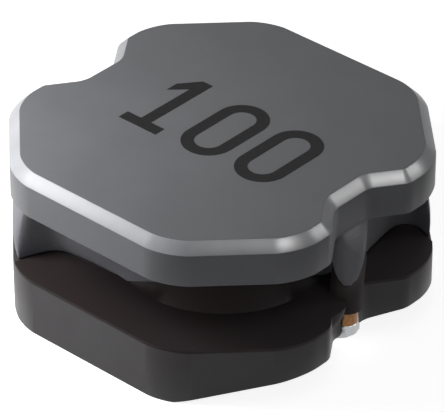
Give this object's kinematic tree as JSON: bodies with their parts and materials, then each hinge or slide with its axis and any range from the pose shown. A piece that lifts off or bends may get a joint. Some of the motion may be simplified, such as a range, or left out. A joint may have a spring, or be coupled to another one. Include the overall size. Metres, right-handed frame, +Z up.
{
  "type": "shielded smd inductor",
  "caption": "Low square power inductor for surface mounting: notched ferrite drum core, wire winding sealed in grey resin between the flanges, terminals under the base.",
  "frame": {"origin": "on the soldering plane, under the middle of the part", "axes": "+Z up from the soldering plane; X runs through the two notches where the leads come down, +X towards the finish lead; Y along the terminals"},
  "size_m": [0.008, 0.008, 0.0038],
  "materials": {
    "ferrite": "satin",
    "copper_wire": "gloss",
    "grey_resin": "matte",
    "black_epoxy": "gloss",
    "tin": "satin"
  },
  "bodies": {
    "root": {"drum_core": "ferrite", "winding": "copper_wire", "resin_shield": "grey_resin", "finish_epoxy": "black_epoxy", "start_epoxy": "black_epoxy", "finish_terminal": "tin", "start_terminal": "tin", "finish_solder": "tin", "start_solder": "tin"}
  },
  "joints": []
}
